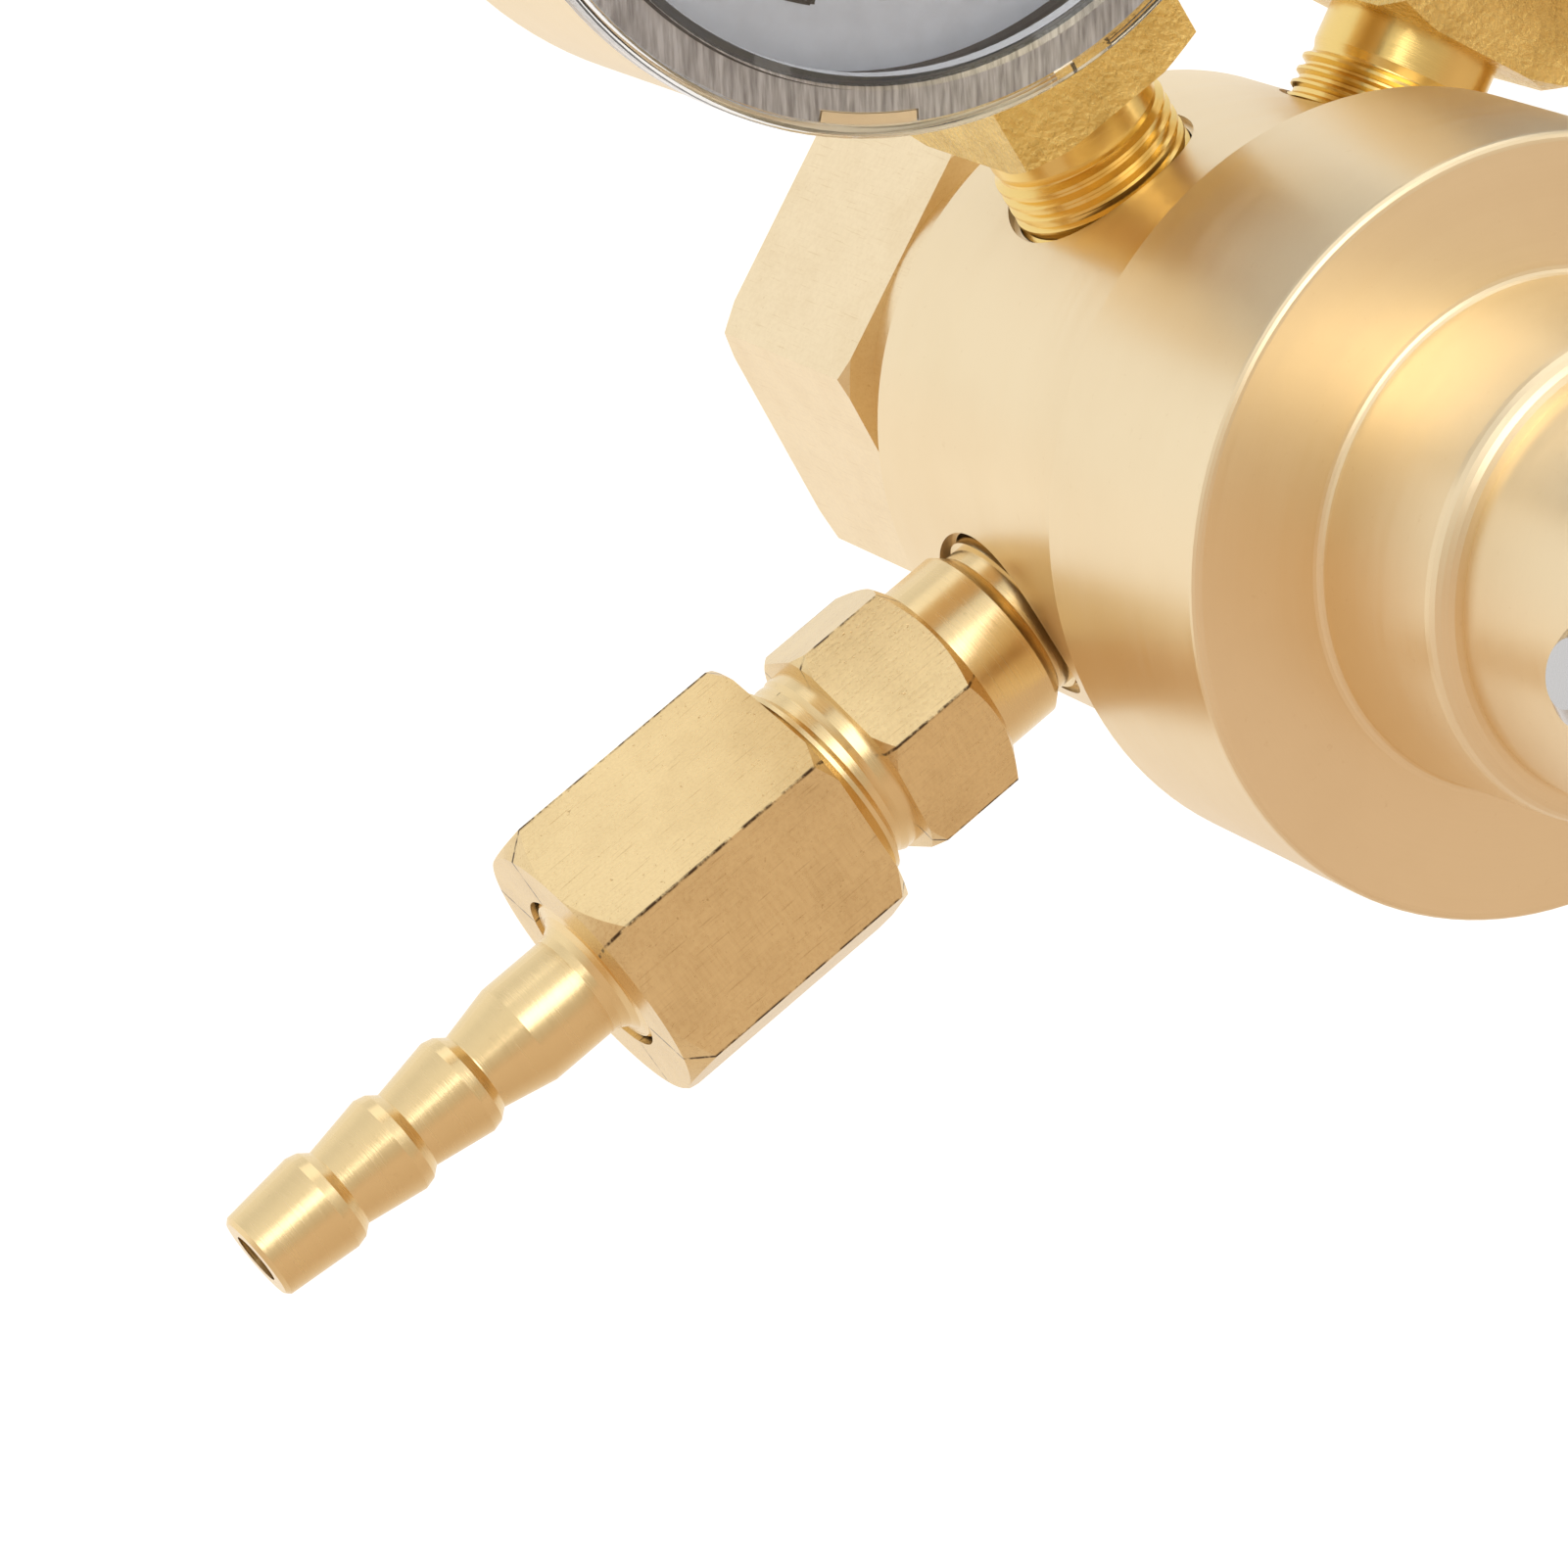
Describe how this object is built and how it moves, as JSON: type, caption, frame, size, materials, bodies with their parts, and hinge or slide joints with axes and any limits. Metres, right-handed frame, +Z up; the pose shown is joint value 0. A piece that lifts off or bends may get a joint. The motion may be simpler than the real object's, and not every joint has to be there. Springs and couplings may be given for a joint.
{
  "type": "gas cylinder regulator",
  "caption": "Brass single-stage nitrogen regulator with two gauges, T-screw bonnet, hexagonal rear cap, union-nut hose tail and bullet-nose cylinder inlet.",
  "frame": {"origin": "On the inlet axis, at the face of the inlet nut's hexagon where its thread starts", "axes": "X runs out along the inlet, -Y is the front with the adjusting screw, Z is up through the gauges; metres"},
  "size_m": [0.1551, 0.1309, 0.1333],
  "materials": {
    "satin_brass": "satin turned brass",
    "plain_brass": "machined brass",
    "cast_brass": "bright rough-cast brass",
    "steel_band": "brushed",
    "bright_steel": "bright",
    "spring_steel": "oiled",
    "black_rubber": "matt",
    "clear_lens": "clear",
    "white_dial": "printed white",
    "black_pointer": "matt black",
    "white_seat": "smooth",
    "sintered_bronze": "grainy"
  },
  "bodies": {
    "regulator": {"body": "satin_brass", "rear_cap": "satin_brass", "cap_seal": "black_rubber", "bonnet": "satin_brass", "diaphragm": "black_rubber", "slip_ring": "bright_steel", "range_spring": "spring_steel", "nozzle": "plain_brass", "poppet_spring": "spring_steel", "inlet_nipple": "plain_brass", "inlet_filter": "sintered_bronze", "outlet_adapter": "plain_brass", "low_socket": "cast_brass", "low_case": "satin_brass", "low_band": "steel_band", "low_lens": "clear_lens", "low_gasket": "black_rubber", "low_dial": "white_dial", "low_movement": "plain_brass", "low_tube": "cast_brass", "high_socket": "cast_brass", "high_case": "satin_brass", "high_band": "steel_band", "high_lens": "clear_lens", "high_gasket": "black_rubber", "high_dial": "white_dial", "high_movement": "plain_brass", "high_tube": "cast_brass"},
    "valve": {"pressure_plate": "bright_steel", "diaphragm_washer": "plain_brass", "valve_pin": "bright_steel", "poppet": "plain_brass", "seat_disc": "white_seat"},
    "button": {"spring_button": "plain_brass"},
    "screw": {"adjusting_screw": "plain_brass", "cross_bar": "bright_steel"},
    "inlet_swivel": {"inlet_nut": "plain_brass"},
    "tail": {"hose_tail": "plain_brass"},
    "union_nut": {"outlet_nut": "plain_brass"},
    "low_needle": {"low_pointer": "black_pointer", "low_arbor": "bright_steel"},
    "low_quadrant": {"low_sector": "plain_brass"},
    "low_rod": {"low_link": "bright_steel"},
    "high_needle": {"high_pointer": "black_pointer", "high_arbor": "bright_steel"},
    "high_quadrant": {"high_sector": "plain_brass"},
    "high_rod": {"high_link": "bright_steel"}
  },
  "joints": [
    {"name": "valve_slide", "type": "slide", "parent": "regulator", "child": "valve", "axis": [0, 1, 0], "range_m": [0, 0.0008], "stiffness_N_per_m": 2000, "deforming": ["diaphragm", "poppet_spring", "range_spring"]},
    {"name": "button_slide", "type": "slide", "parent": "regulator", "child": "button", "axis": [0, 1, 0], "range_m": [0, 0.00875], "deforming": ["range_spring"]},
    {"name": "screw_turn", "type": "hinge", "parent": "button", "child": "screw", "pos_m": [-0.056, -0.062, 0], "axis": [0, 1, 0], "range_deg": [0, 1800]},
    {"name": "inlet_nut_swivel", "type": "hinge", "parent": "regulator", "child": "inlet_swivel", "pos_m": [0, 0, 0], "axis": [1, 0, 0], "continuous": true},
    {"name": "tail_slide", "type": "slide", "parent": "regulator", "child": "tail", "axis": [-0.866, 0, -0.5], "range_m": [0, 0.003]},
    {"name": "nut_turn", "type": "hinge", "parent": "tail", "child": "union_nut", "pos_m": [-0.0993, 0, -0.025], "axis": [-0.866, 0, -0.5], "range_deg": [0, 720]},
    {"name": "low_sector_turn", "type": "hinge", "parent": "regulator", "child": "low_quadrant", "pos_m": [-0.08968, 0, 0.04279], "axis": [0, 1, 0], "range_deg": [-33.75, 0], "stiffness_Nm_per_rad": 0.02},
    {"name": "low_pointer_turn", "type": "hinge", "parent": "regulator", "child": "low_needle", "pos_m": [-0.0885, 0, 0.05629], "axis": [0, 1, 0], "range_deg": [0, 270]},
    {"name": "low_link_turn", "type": "hinge", "parent": "low_quadrant", "child": "low_rod", "pos_m": [-0.09668, 0, 0.04279], "axis": [0, 1, 0], "range_deg": [0, 33.75]},
    {"name": "high_sector_turn", "type": "hinge", "parent": "regulator", "child": "high_quadrant", "pos_m": [-0.03578, 0, 0.05057], "axis": [0, 1, 0], "range_deg": [-33.75, 0], "stiffness_Nm_per_rad": 0.02},
    {"name": "high_pointer_turn", "type": "hinge", "parent": "regulator", "child": "high_needle", "pos_m": [-0.0235, 0, 0.05629], "axis": [0, 1, 0], "range_deg": [0, 270]},
    {"name": "high_link_turn", "type": "hinge", "parent": "high_quadrant", "child": "high_rod", "pos_m": [-0.03928, 0, 0.05663], "axis": [0, 1, 0], "range_deg": [0, 33.75]}
  ],
  "couplings": [
    {"joint": "screw_turn", "follows": "button_slide", "rad_per_m": 3590.4},
    {"joint": "nut_turn", "follows": "tail_slide", "rad_per_m": 4188.8},
    {"joint": "low_pointer_turn", "follows": "low_sector_turn", "ratio": -8},
    {"joint": "low_link_turn", "follows": "low_sector_turn", "ratio": -1},
    {"joint": "high_pointer_turn", "follows": "high_sector_turn", "ratio": -8},
    {"joint": "high_link_turn", "follows": "high_sector_turn", "ratio": -1}
  ]
}
